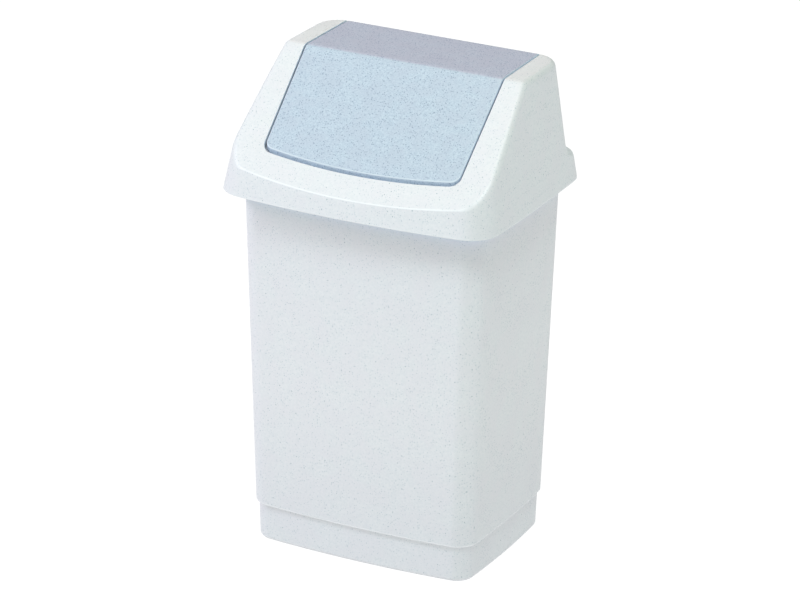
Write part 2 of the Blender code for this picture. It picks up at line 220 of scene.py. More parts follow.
def prism(name, points, start, end):
    # a solid between two copies of an outline, which start and end put in their places
    mesh = bmesh.new()
    ends = [[mesh.verts.new(side(point)) for point in points] for side in (start, end)]
    for index in range(len(points)):
        after = (index + 1) % len(points)
        mesh.faces.new((ends[0][index], ends[0][after], ends[1][after], ends[1][index]))
    mesh.faces.new(list(reversed(ends[0])))
    mesh.faces.new(ends[1])
    bmesh.ops.recalc_face_normals(mesh, faces=mesh.faces)
    return newPiece(name, mesh)


def prismAcross(name, points, startX, endX):
    return prism(name, points, lambda point: (startX, *point), lambda point: (endX, *point))


def cylinderAcross(name, centre, radius, startX, endX):
    half = roundSteps // 2
    high = [Vector((centre[0] - radius * math.cos(math.pi * step / half),
                    centre[1] + radius * math.sin(math.pi * step / half)))
            for step in range(half + 1)]
    low = [Vector((point.x, 2 * centre[1] - point.y)) for point in reversed(high[1:-1])]
    return prismAcross(name, high + low, startX, endX)


def shadeSmooth(piece):
    piece.data.shade_smooth()
    piece.data.set_sharp_from_angle(angle=math.radians(sharpAngle))


def markHighlight(piece, places):
    # marks the vertices of edges that get a painted highlight in the finishes; places are pairs of a
    # place and the strength of its painted highlight
    tree = kdtree.KDTree(len(places))
    for index, (place, _) in enumerate(places):
        tree.insert(place, index)
    tree.balance()
    paintedHighlight = piece.data.attributes.new("paintedHighlight", "FLOAT", "POINT")
    for vertex in piece.data.vertices:
        _, index, distance = tree.find(vertex.co)
        if distance < markReach:
            paintedHighlight.data[vertex.index].value = places[index][1]


# Bucket

bucketSizes = {
    "width": 0.2630,            # at the floor
    "depth": 0.2009,
    "setBack": 0.0069,
    "draftShare": 0.0245,
    "wall": 0.0022,
    "cornerRadius": 0.0210,
    "leastRadiusShare": 0.25,
    "frontBow": 0.0066,
    "sideBow": 0.0035,
    "plinthHeight": 0.0418,
    "plinthInset": 0.0031,
    "plinthEdgeRadius": 0.0016,
    "plinthRootRadius": 0.0010,
    "footRadius": 0.0045,
    "footRingWidth": 0.0090,
    "footRecess": 0.0030,
    "footEdgeRadius": 0.0006,
    "floorThickness": 0.0025,
    "rimHeight": bucketHigh.z,
    "rimOverhang": 0.0030,
    "rimDepth": 0.0080,
    "rimEdgeRadius": 0.0010,
}
bucketSteps = {"front": 26, "corner": 18, "back": 26,
               "sideShares": spread(0, 1, 22), "arc": 7}


def bucketRing(inset, height):
    sizes = bucketSizes
    grow = sizes["draftShare"] * height - inset
    halfWidth = sizes["width"] / 2 + grow
    front = sizes["setBack"] - sizes["depth"] / 2 - grow
    back = sizes["setBack"] + sizes["depth"] / 2 + grow
    radius = max(sizes["cornerRadius"] - inset, sizes["cornerRadius"] * sizes["leastRadiusShare"])
    bows = (sizes["frontBow"], sizes["sideBow"], sizes["frontBow"])
    half = []
    for column in outlineColumns(bucketSteps):
        point = outlinePoint(column, halfWidth, front, back, (radius, radius))
        half.append(bowed(point, halfWidth, front, sizes["setBack"], bows))
    return [Vector((point.x, point.y, height)) for point in bothHalves(half)]


def makeBucket():
    sizes = bucketSizes
    floor = sizes["footRecess"] + sizes["floorThickness"]
    ringInner = sizes["plinthInset"] + sizes["footRadius"] + sizes["footRingWidth"]
    rimRoot = sizes["rimHeight"] - sizes["rimDepth"]
    wall = sizes["wall"]
    path = roundedPath([
        (ringInner + sizes["footRecess"], sizes["footRecess"], 0),
        (ringInner, sizes["footRecess"], sizes["footEdgeRadius"]),
        (ringInner, 0, sizes["footEdgeRadius"]),
        (sizes["plinthInset"], 0, sizes["footRadius"]),
        (sizes["plinthInset"], sizes["plinthHeight"], sizes["plinthRootRadius"]),
        (0, sizes["plinthHeight"], sizes["plinthEdgeRadius"]),
        (0, rimRoot - sizes["rimOverhang"], sizes["footEdgeRadius"]),
        (-sizes["rimOverhang"], rimRoot, sizes["footEdgeRadius"]),
        (-sizes["rimOverhang"], sizes["rimHeight"], sizes["rimEdgeRadius"]),
        (wall, sizes["rimHeight"], sizes["rimEdgeRadius"]),
        (wall, sizes["plinthHeight"] + wall, sizes["plinthRootRadius"]),
        (wall + sizes["plinthInset"], sizes["plinthHeight"], sizes["plinthRootRadius"]),
        (wall + sizes["plinthInset"], floor, sizes["footRadius"] - wall),
        (ringInner, floor, 0)], bucketSteps["arc"])
    rings = [bucketRing(inset, height) for inset, height in path]
    piece = solidThroughRings("bucket_shell", rings)
    shadeSmooth(piece)
    edge = sizes["plinthEdgeRadius"]    # the edge over the plinth gets a painted highlight
    edgeHighlight = [ring for (inset, height), ring in zip(path, rings)
            if tinyLength < inset < edge and tinyLength < height - sizes["plinthHeight"] < edge]
    markHighlight(piece, [(point, 1.0) for ring in edgeHighlight for point in ring])
    return piece


# Crown: the slope, the bend and the flat top, which hood and flap share

crownSizes = {
    "height": hoodHigh.z,
    "riseShare": 0.8698,
    "slopeRun": 0.1318,
    "topRun": 0.0961,
    "bendRadius": 0.0110,
    "backRadius": 0.0095,
    "backLeanShare": 0.025,
}
bendTurn = math.atan(crownSizes["riseShare"])
backTurn = math.radians(90) - math.atan(crownSizes["backLeanShare"])
bendTangent = crownSizes["bendRadius"] * math.tan(bendTurn / 2)
backTangent = crownSizes["backRadius"] * math.tan(backTurn / 2)
bendLength = crownSizes["bendRadius"] * bendTurn
flatLength = crownSizes["topRun"] - bendTangent - backTangent
backLength = crownSizes["backRadius"] * backTurn
bendY = hoodLow.y + crownSizes["slopeRun"]
bendCorner = Vector((bendY, crownSizes["height"]))
alongSlope = Vector((math.cos(bendTurn), math.sin(bendTurn)))
slopeNormal = Vector((-alongSlope.y, alongSlope.x))
pivotRun = (pivotPlace - bendCorner).dot(alongSlope) + bendTangent


def crownPlace(run, depth):
    # the point at a run along the crown and a depth under its surface, as (y, z)
    bendEnd = bendCorner + Vector((bendTangent, 0))
    bendStart = bendCorner - alongSlope * bendTangent
    backStart = bendEnd + Vector((flatLength, 0))
    if run <= 0:
        return bendStart + alongSlope * run - slopeNormal * depth
    if run <= bendLength:
        angle = bendTurn * (1 - run / bendLength)
        spoke = Vector((-math.sin(angle), math.cos(angle)))
        radius = crownSizes["bendRadius"]
        return bendEnd - Vector((0, radius)) + spoke * (radius - depth)
    run -= bendLength
    if run <= flatLength:
        return bendEnd + Vector((run, -depth))
    run -= flatLength
    angle = backTurn * min(run / backLength, 1)
    spoke = Vector((math.sin(angle), math.cos(angle)))
    radius = crownSizes["backRadius"]
    turned = backStart - Vector((0, radius)) + spoke * (radius - depth)
    down = Vector((math.cos(backTurn), -math.sin(backTurn)))
    return turned + down * max(run - backLength, 0)


def onCrown(point):
    # takes (x, run, minus depth) to the crown
    place = crownPlace(point[1], -point[2])
    return Vector((point[0], place.x, place.y))


# Flap

flapSizes = {
    "halfWidth": 0.1139,
    "slopeLength": 0.1310,
    "taperShare": 0.0190,
    "lowBow": 0.0095,
    "cornerRadius": 0.0090,
    "backCornerRadius": 0.0030,
    "leastRadiusShare": 0.25,
    "turnDown": 0.0015,
    "thickness": 0.0020,
    "rimThickness": 0.0018,
    "rimRounding": 0.0006,
    "lowRimInset": 0.0006,
    "sideDepth": 0.0065,
    "lowDepth": 0.0140,
    "lowRamp": 0.0300,
    "edgeRadius": 0.0016,
    "lowEdgeRadius": 0.0016,
    "lowEdgeRun": 0.0120,
    "lowFaceDepth": 0.0048,     # of the slanting face along the lower edge
    "lowFaceTurn": 55,
    "lugRadius": 0.0075,
    "lugThickness": 0.0024,
    "pinRadius": 0.0035,
    "edgeSteps": 7,
}
flapLowEnd = -flapSizes["slopeLength"]
flapLip = flapSizes["lowFaceDepth"] / math.tan(math.radians(flapSizes["lowFaceTurn"]))
flapBackEnd = bendLength + flatLength + backLength + flapSizes["turnDown"]
openingSizes = {
    "sideGap": 0.0016,
    "lowGap": 0.0050,
    "stopGap": 0.0003,
    "flangeDepth": 0.0070,
    "flangeThickness": 0.0018,
    "lipRadius": 0.0005,
    "lipSteps": 4,
}
flatSteps = {"front": 30, "corner": 12, "back": 30, "slope": 26, "bend": 16, "top": 18, "backEdge": 18}


def flapOutline(grow, lowGrow, backGrow, cornerGrow):
    # the flap's flat outline as (x, run), grown outwards by the lengths given
    sizes = flapSizes
    halfWidth = sizes["halfWidth"] + grow
    low = flapLowEnd - lowGrow
    back = flapBackEnd + backGrow
    frontRadius, backRadius = (max(radius + cornerGrow, radius * sizes["leastRadiusShare"])
                               for radius in (sizes["cornerRadius"], sizes["backCornerRadius"]))
    start = low + frontRadius
    end = back - backRadius
    stops = spread(start, 0, flatSteps["slope"]) + spread(0, bendLength, flatSteps["bend"])
    stops += spread(bendLength, bendLength + flatLength, flatSteps["top"])
    stops += spread(bendLength + flatLength, end, flatSteps["backEdge"])
    steps = dict(flatSteps, sideShares=[(stop - start) / (end - start) for stop in stops])
    taper = sizes["taperShare"] / halfWidth
    half = []
    for column in outlineColumns(steps):
        point = outlinePoint(column, halfWidth, low, back, (frontRadius, backRadius))
        point = bowed(point, halfWidth, low, 0, (sizes["lowBow"], 0, 0))
        half.append(Vector((point.x - taper * abs(point.y) * point.x, point.y)))
    return bothHalves(half)


def openingOutline(grow):
    sizes = openingSizes
    return flapOutline(sizes["sideGap"] + grow, sizes["lowGap"] + grow,
                       sizes["stopGap"] + grow, sizes["sideGap"] + grow)


def lowShare(run, rampRun):
    # 1 along the flap's lower edge, fading to 0 over a run up its sides
    return easeShare((flapLowEnd + flapSizes["lowBow"] + rampRun - run) / rampRun)


def rimRing(inset, lowInset, depth=None, lift=0):
    # a ring of the turned-in rim, which is deeper along the lower edge than along the sides
    sizes = flapSizes
    ring = []
    for x, run in flapOutline(-inset, -lowInset, -inset, -inset):
        deeper = (sizes["lowDepth"] - sizes["sideDepth"]) * lowShare(run, sizes["lowRamp"])
        rimDepth = sizes["sideDepth"] + deeper - lift
        ring.append(Vector((x, run, -(rimDepth if depth is None else depth))))
    return ring


def edgeRings():
    # the rounded edge; along the lower side it runs out in a slanting face
    sizes = flapSizes
    lowRadius = sizes["lowEdgeRadius"]
    turn = math.radians(sizes["lowFaceTurn"])
    rings = []
    for step, (inset, depth) in enumerate(quarterArc(sizes["edgeRadius"], sizes["edgeSteps"])):
        if step == 0:
            lowInset, lowDepth = -flapLip, sizes["lowFaceDepth"]
        else:
            angle = turn * (sizes["edgeSteps"] - step) / (sizes["edgeSteps"] - 1)
            lowInset = lowRadius * (math.tan(turn / 2) - math.sin(angle))
            lowDepth = lowRadius * (1 - math.cos(angle))
        ring = []
        for x, run in flapOutline(-inset, -lowInset, -inset, -inset):
            deeper = (lowDepth - depth) * lowShare(run, sizes["lowEdgeRun"])
            ring.append(Vector((x, run, -depth - deeper)))
        rings.append(ring)
    return rings


def halfWidthAtPivot():
    return flapSizes["halfWidth"] - flapSizes["taperShare"] * abs(pivotRun)


def makeFlap():
    sizes = flapSizes
    rim, lowRim = sizes["rimThickness"], sizes["lowRimInset"]
    rounding = sizes["rimRounding"]
    rings = [rimRing(rim, lowRim, sizes["thickness"]),
             rimRing(rim, lowRim, lift=rounding),
             rimRing(rim - rounding, lowRim - rounding),
             rimRing(rounding, rounding - flapLip),
             rimRing(0, -flapLip, lift=rounding)]
    rings += edgeRings()
    piece = solidThroughRings("flap_shell", rings, onCrown)
    lugEnd = halfWidthAtPivot() - socketSizes["step"]
    pinEnd = halfWidthAtPivot() + openingSizes["sideGap"] + socketSizes["step"]
    pinEnd += socketSizes["length"] - socketSizes["pinEndGap"]
    for side in (-1, 1):
        lug = cylinderAcross("lug", pivotPlace, sizes["lugRadius"],
                             side * (lugEnd - sizes["lugThickness"]), side * lugEnd)
        combine(piece, lug, "UNION")
        pin = cylinderAcross("pin", pivotPlace, sizes["pinRadius"],
                             side * (lugEnd - sizes["lugThickness"] / 2), side * pinEnd)
        combine(piece, pin, "UNION")
    shadeSmooth(piece)
    edgeHighlight = rings[1 - sizes["edgeSteps"]:-1]     # the lower edge's rounding gets a painted highlight
    markHighlight(piece, [(onCrown(point), lowShare(point.y, sizes["lowEdgeRun"])) for ring in edgeHighlight
                     for point in ring])
    return piece


# Hood

hoodSizes = {
    "width": hoodHigh.x - hoodLow.x,
    "depth": hoodHigh.y - hoodLow.y,
    "skirtHeight": hoodLow.z,
    "wall": 0.0022,
    "sideLeanShare": 0.147,
    "frontLeanShare": 0.200,
    "skirtBackLeanShare": 0.100,
    "frontRadius": 0.0285,
    "skirtBackRadius": 0.0360,
    "backRadius": 0.0290,
    "frontBow": 0.0115,
    "sideBow": 0.0028,
    "shoulderLow": 0.4244,
    "shoulderHigh": 0.4329,
    "shoulderEdgeRadius": 0.0062,
    "shoulderRootRadius": 0.0115,
    "sideCrest": 0.0065,        # how far each edge of the crown is rounded, along its faces
    "frontCrease": 0.0009,
    "leastCrest": 0.0003,
    "skirtEdgeRadius": 0.0007,
    "knee": 0.0600,             # rows below this length of wall stay level
    "fullLength": 0.1000,
    "firstRow": 0.0012,
    "highlightReachShare": 0.3,           # of the corners' radius that the crease's painted highlight reaches
    "highlightFade": 0.0110,
    "probe": 0.0003,
}
socketSizes = {
    "radius": 0.0085,
    "length": 0.0045,
    "step": 0.0002,
    "pinClearance": 0.0003,
    "pinEndGap": 0.0006,
    "snapBite": 0.0005,
}
gussetSizes = {
    "thickness": 0.0018,
    "lap": 0.0045,
    "tooth": 0.0070,
    "tip": 0.0030,
    "height": 0.0200,
    "seatGap": 0.0003,
    "locatingGap": 0.0006,
    "widthShares": (-0.62, 0.0, 0.62),
    "depthShares": (-0.50, 0.50),
    "formStride": 3,
}
hoodSteps = {"front": 30, "corner": 18, "back": 26, "arc": 8, "low": 60, "high": 30,
             "crest": 8, "edge": 3,
             "sideShares": spread(0, 0.51, 26) + spread(0.51, 0.60, 18) + spread(0.60, 1, 20)}


def shoulderPath(inset):
    # the back wall in section as (y, z), moved in square to itself by an inset
    sizes = hoodSizes
    skirtBack = sizes["depth"] / 2
    skirtRise = sizes["shoulderLow"] - sizes["skirtHeight"]
    backTop = bendY + crownSizes["topRun"]
    backDrop = crownSizes["height"] - sizes["shoulderHigh"]
    corners = [Vector((skirtBack, sizes["skirtHeight"])),
               Vector((skirtBack - sizes["skirtBackLeanShare"] * skirtRise, sizes["shoulderLow"])),
               Vector((backTop + crownSizes["backLeanShare"] * backDrop, sizes["shoulderHigh"])),
               Vector((backTop, crownSizes["height"]))]
    lines = []
    for start, end in zip(corners, corners[1:]):
        along = (end - start).normalized()
        lines.append((start + Vector((-along.y, along.x)) * inset, along))
    met = [lineMeeting(lines[0], lines[1]), lineMeeting(lines[1], lines[2])]
    first = lines[0][0] + lines[0][1] * ((sizes["skirtHeight"] - lines[0][0].y) / lines[0][1].y)
    top = crownSizes["height"] + cutOverrun
    last = lines[2][0] + lines[2][1] * ((top - lines[2][0].y) / lines[2][1].y)
    return roundedPath([(*first, 0),
                        (*met[0], sizes["shoulderEdgeRadius"] - inset),
                        (*met[1], sizes["shoulderRootRadius"] + inset),
                        (*last, 0)], hoodSteps["arc"])


def hoodPoint(column, back, height, inset):
    # one point of the hood's outline at one height
    sizes = hoodSizes
    rise = height - sizes["skirtHeight"]
    skirtBack = sizes["depth"] / 2
    wallBack = bendY + crownSizes["topRun"]
    follow = min(max((back + inset - wallBack) / (skirtBack - wallBack), 0), 1)
    backRadius = sizes["backRadius"] + (sizes["skirtBackRadius"] - sizes["backRadius"]) * follow - inset
    halfWidth = sizes["width"] / 2 - sizes["sideLeanShare"] * rise - inset
    front = sizes["frontLeanShare"] * rise + inset - sizes["depth"] / 2
    point = outlinePoint(column, halfWidth, front, back, (sizes["frontRadius"] - inset, backRadius))
    point = bowed(point, halfWidth, front, 0, (sizes["frontBow"], sizes["sideBow"], 0))
    return Vector((point.x, point.y, height))


class WallPath:
    # the hood's wall, followed upwards by the length of its back section

    def __init__(self, inset, columns):
        self.inset = inset
        self.columns = columns
        self.points = shoulderPath(inset)
        self.lengths = [0]
        for start, end in zip(self.points, self.points[1:]):
            self.lengths.append(self.lengths[-1] + (end - start).length)

    def place(self, column, length):
        index = min(max(bisect.bisect_left(self.lengths, length), 1), len(self.lengths) - 1)
        start, end = self.lengths[index - 1], self.lengths[index]
        back, height = self.points[index - 1].lerp(self.points[index], (length - start) / (end - start))
        return hoodPoint(self.columns[column], back, height, self.inset)

    def normal(self, column, length):
        # outward normal of the wall
        last = len(self.columns) - 1
        before, after = mirrored(self.place(1, length)), mirrored(self.place(last - 1, length))
        if column > 0:
            before = self.place(column - 1, length)
        if column < last:
            after = self.place(column + 1, length)
        step = hoodSizes["probe"]
        upwards = self.place(column, length + step) - self.place(column, max(length - step, 0))
        return (after - before).cross(upwards).normalized()


def mirrored(point):
    return Vector((-point.x, *point[1:]))


def halvedRoot(function, low, high, rounds=20):
    # where a function that starts below zero and ends above it is zero
    for _ in range(rounds):
        middle = (low + high) / 2
        if function(middle) < 0:
            low = middle
        else:
            high = middle
    return (low + high) / 2


def crownNormalTowards(point, inset):
    # a point's depth under the crown moved in by an inset, and the crown's normal nearest to it
    radius = crownSizes["bendRadius"]
    away = Vector((point.y - bendY - bendTangent, point.z - crownSizes["height"] + radius))
    lean = math.atan2(-away.x, away.y)
    if not 0 <= lean <= bendTurn:
        lean = max((0, bendTurn), key=lambda turn: away.y * math.cos(turn) - away.x * math.sin(turn))
    normal = Vector((0, -math.sin(lean), math.cos(lean)))
    return radius - inset - away.dot(normal.yz), normal


def crestRadius(wallNormal, crownNormal):
    # the crest's roundness: a crease in front, softer at the sides, softest behind
    sizes = hoodSizes
    turn = wallNormal.angle(crownNormal)
    square = sizes["frontCrease"]
    if wallNormal.y > 0:
        square = crownSizes["backRadius"] * math.tan(turn / 2)
    reach = square + (sizes["sideCrest"] - square) * easeShare(abs(wallNormal.x))
    return reach / math.tan(turn / 2)


def columnPlaces(path, column):
    # one column of the hood's form: up the wall, then round the crest to the crown
    top = path.lengths[-1] - hoodSizes["probe"]
    inset = path.inset
    meeting = halvedRoot(lambda length: -crownNormalTowards(path.place(column, length), inset)[0],
                         0, top)
    crownNormal = crownNormalTowards(path.place(column, meeting), inset)[1]
    radius = crestRadius(path.normal(column, meeting), crownNormal) - inset
    radius = max(radius, hoodSizes["leastCrest"])

    def ballCentre(length):
        return path.place(column, length) - path.normal(column, length) * radius

    turnStart = halvedRoot(lambda length: radius - crownNormalTowards(ballCentre(length), inset)[0],
                           0, meeting)
    centre = ballCentre(turnStart)
    wallNormal = path.normal(column, turnStart)
    crownNormal = crownNormalTowards(centre, inset)[1]
    knee = hoodSizes["knee"] * min(turnStart / hoodSizes["fullLength"], 1)
    first = hoodSizes["firstRow"]
    lengths = [0, first] + spread(first, knee, hoodSteps["low"])
    lengths += spread(knee, turnStart, hoodSteps["high"])
    places = [path.place(column, length) for length in lengths]
    for step in range(1, hoodSteps["crest"] + 1):
        turned = wallNormal.slerp(crownNormal, step / hoodSteps["crest"])
        places.append(centre + turned * radius)
    return places


def hoodForm(inset, stride=1):
    # rings of the hood's form from the skirt's edge up to the crown, moved in by an inset
    columns = outlineColumns(hoodSteps)
    path = WallPath(inset, columns[:-1:stride] + columns[-1:])
    places = [columnPlaces(path, column) for column in range(len(path.columns))]
    return [bothHalves([column[row] for column in places]) for row in range(len(places[0]))]


def skirtEdge(outer, inner):
    # rings round the skirt's lower edge, from the inside to the outside
    radius = hoodSizes["skirtEdgeRadius"]
    rings = []
    for start, other, turns in ((inner, outer, (0, 1)), (outer, inner, (1, 0))):
        for step in range(hoodSteps["edge"] + 1):
            share = turns[0] + (turns[1] - turns[0]) * step / hoodSteps["edge"]
            angle = math.radians(90) * share
            lift = radius * (1 - math.sin(angle))
            moveIn = radius * (1 - math.cos(angle))
            ring = []
            for point, opposite, above in zip(start[0], other[0], start[1]):
                upwards = (above - point) / (above.z - point.z)
                inwards = (opposite - point).normalized()
                ring.append(point + upwards * lift + inwards * moveIn)
            rings.append(ring)
    return rings


def makeShell(outer):
    inner = hoodForm(hoodSizes["wall"])
    rings = list(reversed(inner[1:])) + skirtEdge(outer, inner) + outer[1:]
    return solidThroughRings("hood_shell", rings, flatFrom=bendY + bendTangent)


def flangeBlock():
    # the lip that is turned in round the opening, still filled
    sizes = openingSizes
    thickness = sizes["flangeThickness"]
    rounding = sizes["lipRadius"]
    path = [(thickness, hoodSizes["wall"] / 2)]
    path += [(thickness - inset, sizes["flangeDepth"] - depth)
             for inset, depth in quarterArc(rounding, sizes["lipSteps"])]
    rings = [[Vector((x, run, -depth)) for x, run in openingOutline(grow)] for grow, depth in path]
    return solidThroughRings("flange", rings, onCrown)


def openingCutter():
    # the opening, which widens at both ends so that its edges come out rounded
    sizes = openingSizes
    rounding = sizes["lipRadius"]
    top = quarterArc(rounding, sizes["lipSteps"])
    bottom = [(grow, sizes["flangeDepth"] - depth) for grow, depth in reversed(top)]
    rise = 2 * rounding
    path = [(rounding, sizes["flangeDepth"] + rise)] + bottom + top + [(rounding, -cutOverrun)]
    rings = [[Vector((x, run, -depth)) for x, run in openingOutline(grow)] for grow, depth in path]
    return solidThroughRings("opening", rings, onCrown)


def socketReach():
    start = halfWidthAtPivot() + openingSizes["sideGap"] + socketSizes["step"]
    return start, start + socketSizes["length"]


def snapSlot(side):
    # the lead-in below a socket, a little narrower than the pin
    half = alongSlope * (flapSizes["pinRadius"] - socketSizes["snapBite"])
    deep = slopeNormal * (socketSizes["radius"] + cutOverrun)
    corners = [pivotPlace - half, pivotPlace + half, pivotPlace + half - deep, pivotPlace - half - deep]
    return prismAcross("slot", corners, side * halfWidthAtPivot(),
                       side * (socketReach()[1] + cutOverrun))


def gussetPlate(place, outward, reach):
    # a plate square to the wall: a tooth outside the rim and a seat over it, under a sloping top
    sizes = gussetSizes
    rim = bucketSizes["rimHeight"]
    outer = reach + hoodSizes["depth"]
    section = [(reach - sizes["lap"], rim - sizes["tooth"]),
               (outer, rim - sizes["tooth"]),
               (outer, rim + sizes["height"] + (outer - reach)),
               (reach + sizes["lap"], rim + sizes["height"]),
               (reach - sizes["lap"], rim + sizes["tip"])]
    sideways = Vector((-outward.y, outward.x)) * (sizes["thickness"] / 2)
    ends = [lambda point, base=base: (*(base + outward * point[0]), point[1])
            for base in (place - sideways, place + sideways)]
    return prism("gusset", section, *ends)


def rimBlock():
    # the room that the bucket's rim takes between the gussets
    grown = -bucketSizes["rimOverhang"] - gussetSizes["locatingGap"]
    low = bucketRing(grown, hoodSizes["skirtHeight"] - cutOverrun)
    high = bucketRing(grown, bucketSizes["rimHeight"])
    lift = Vector((0, 0, gussetSizes["seatGap"]))
    return solidThroughRings("rim_room", [low, [point + lift for point in high]])


def makeGussets():
    sizes = gussetSizes
    grow = bucketSizes["draftShare"] * bucketSizes["rimHeight"]
    halfWidth = bucketSizes["width"] / 2 + grow
    halfDepth = bucketSizes["depth"] / 2 + grow
    middle = bucketSizes["setBack"]
    plates = []
    for share in sizes["widthShares"]:
        reach = halfDepth - bucketSizes["frontBow"] * share ** 2
        for outward in (Vector((0, -1)), Vector((0, 1))):
            plates.append(gussetPlate(Vector((halfWidth * share, middle)), outward, reach))
    for share in sizes["depthShares"]:
        reach = halfWidth - bucketSizes["sideBow"] * share ** 2
        for outward in (Vector((-1, 0)), Vector((1, 0))):
            plates.append(gussetPlate(Vector((0, middle + halfDepth * share)), outward, reach))
    gussets = joinMeshes("hood_gussets", plates)
    combine(gussets, rimBlock(), "DIFFERENCE")
    form = solidThroughRings("form", hoodForm(hoodSizes["wall"] / 2, sizes["formStride"]),
                             flatFrom=bendY + bendTangent)
    combine(gussets, form, "INTERSECT")
    shadeSmooth(gussets)
    return gussets


def makeHood():
    outer = hoodForm(0)
    shell = makeShell(outer)
    start, end = socketReach()
    sockets = [cylinderAcross("socket", pivotPlace, socketSizes["radius"], side * start, side * end)
               for side in (-1, 1)]
    added = flangeBlock()
    combine(added, joinMeshes("sockets", sockets), "UNION")
    combine(shell, added, "UNION")
    removed = openingCutter()
    holes = [cylinderAcross("hole", pivotPlace, flapSizes["pinRadius"] + socketSizes["pinClearance"],
                            side * halfWidthAtPivot(), side * (end + cutOverrun)) for side in (-1, 1)]
    combine(removed, joinMeshes("holes", holes), "UNION")
    combine(removed, joinMeshes("slots", [snapSlot(side) for side in (-1, 1)]), "UNION")
    combine(shell, removed, "DIFFERENCE")
    shadeSmooth(shell)
    sizes = hoodSizes           # the crease between skirt and slope gets a painted highlight, less so at the corners
    end = hoodLow.y + sizes["frontBow"] + sizes["frontRadius"] * sizes["highlightReachShare"]
    markHighlight(shell, [(point, easeShare((end - point.y) / sizes["highlightFade"]))
                     for ring in outer[-hoodSteps["crest"]:-1] for point in ring])
    return shell


bucketShell = makeBucket()
print("bucket made")
hoodShell = makeHood()
hoodGussets = makeGussets()
print("hood made")
flapShell = makeFlap()
print("flap made")


# Finishes

def connect(tree, source, socket):
    # joins an output to a socket, or gives the socket a value
    if isinstance(source, bpy.types.NodeSocket):
        tree.links.new(source, socket)
    else:
        socket.default_value = source


def addNode(tree, kind, sockets, **settings):
    node = tree.nodes.new("ShaderNode" + kind)
    for name, value in settings.items():
        setattr(node, name, value)
    for name, source in sockets.items():
        connect(tree, source, node.inputs[name])
    return node


def combined(tree, operation, first, second=0.0):
    return addNode(tree, "Math", {0: first, 1: second}, operation=operation).outputs[0]


def mixedColour(tree, share, first, second, blend="MIX"):
    mix = addNode(tree, "Mix", {0: share, 6: first, 7: second}, data_type="RGBA", blend_type=blend)
    return mix.outputs[2]


def eased(tree, value, start, end, low=0.0, high=1.0):
    ramp = addNode(tree, "MapRange", {"Value": value, "From Min": start, "From Max": end,
                                      "To Min": low, "To Max": high}, interpolation_type="SMOOTHSTEP")
    return ramp.outputs["Result"]


def nodeGroup(name, inputs, outputs):
    tree = bpy.data.node_groups.new(name, "ShaderNodeTree")
    for socketName, kind in inputs:
        tree.interface.new_socket(socketName, in_out="INPUT", socket_type="NodeSocket" + kind)
    for socketName, kind in outputs:
        tree.interface.new_socket(socketName, in_out="OUTPUT", socket_type="NodeSocket" + kind)
    return tree, tree.nodes.new("NodeGroupInput").outputs, tree.nodes.new("NodeGroupOutput").inputs


def groupNode(tree, group, sockets):
    node = tree.nodes.new("ShaderNodeGroup")
    node.node_tree = group
    for name, source in sockets.items():
        connect(tree, source, node.inputs[name])
    return node.outputs


def objectPlaces(tree):
    return tree.nodes.new("ShaderNodeTexCoord").outputs["Object"]


def noise(tree, places, size, detail=2.0):
    # noise whose lumps have the size given, as a length
    scale = combined(tree, "DIVIDE", 1.0, size)
    return addNode(tree, "TexNoise", {"Vector": places, "Scale": scale, "Detail": detail})


maskEnds = {                    # the values between which each mask rises
    "unevenness": (0.0, 1.0),
    "mottle": (0.35, 0.65),
    "drift": (0.35, 0.65),
    "edge": (0.985, 0.92),      # how open the inside of the plastic is
    "shade": (0.97, 0.68),      # how open the outside is
    "gapShade": (0.20, 0.05),
    "topShade": (0.87, 0.995),     # how far a face looks up
}
speckShares = {"least": 0.35, "most": 1.4, "core": 0.5}     # of a speck's radius
noiseMiddle = 0.5


def speckMask(tree, places, spacing, radius):
    # 1 on specks of uneven size that lie about one spacing apart in the plastic
    scale = combined(tree, "DIVIDE", 1.0, spacing)
    cells = addNode(tree, "TexVoronoi", {"Vector": places, "Scale": scale})
    chance = addNode(tree, "SeparateColor", {"Color": cells.outputs["Color"]}).outputs["Red"]
    unevenness = eased(tree, chance, *maskEnds["unevenness"], speckShares["least"], speckShares["most"])
    reach = combined(tree, "MULTIPLY", combined(tree, "DIVIDE", radius, spacing), unevenness)
    core = combined(tree, "MULTIPLY", reach, speckShares["core"])
    return eased(tree, cells.outputs["Distance"], core, reach, 1.0, 0.0)


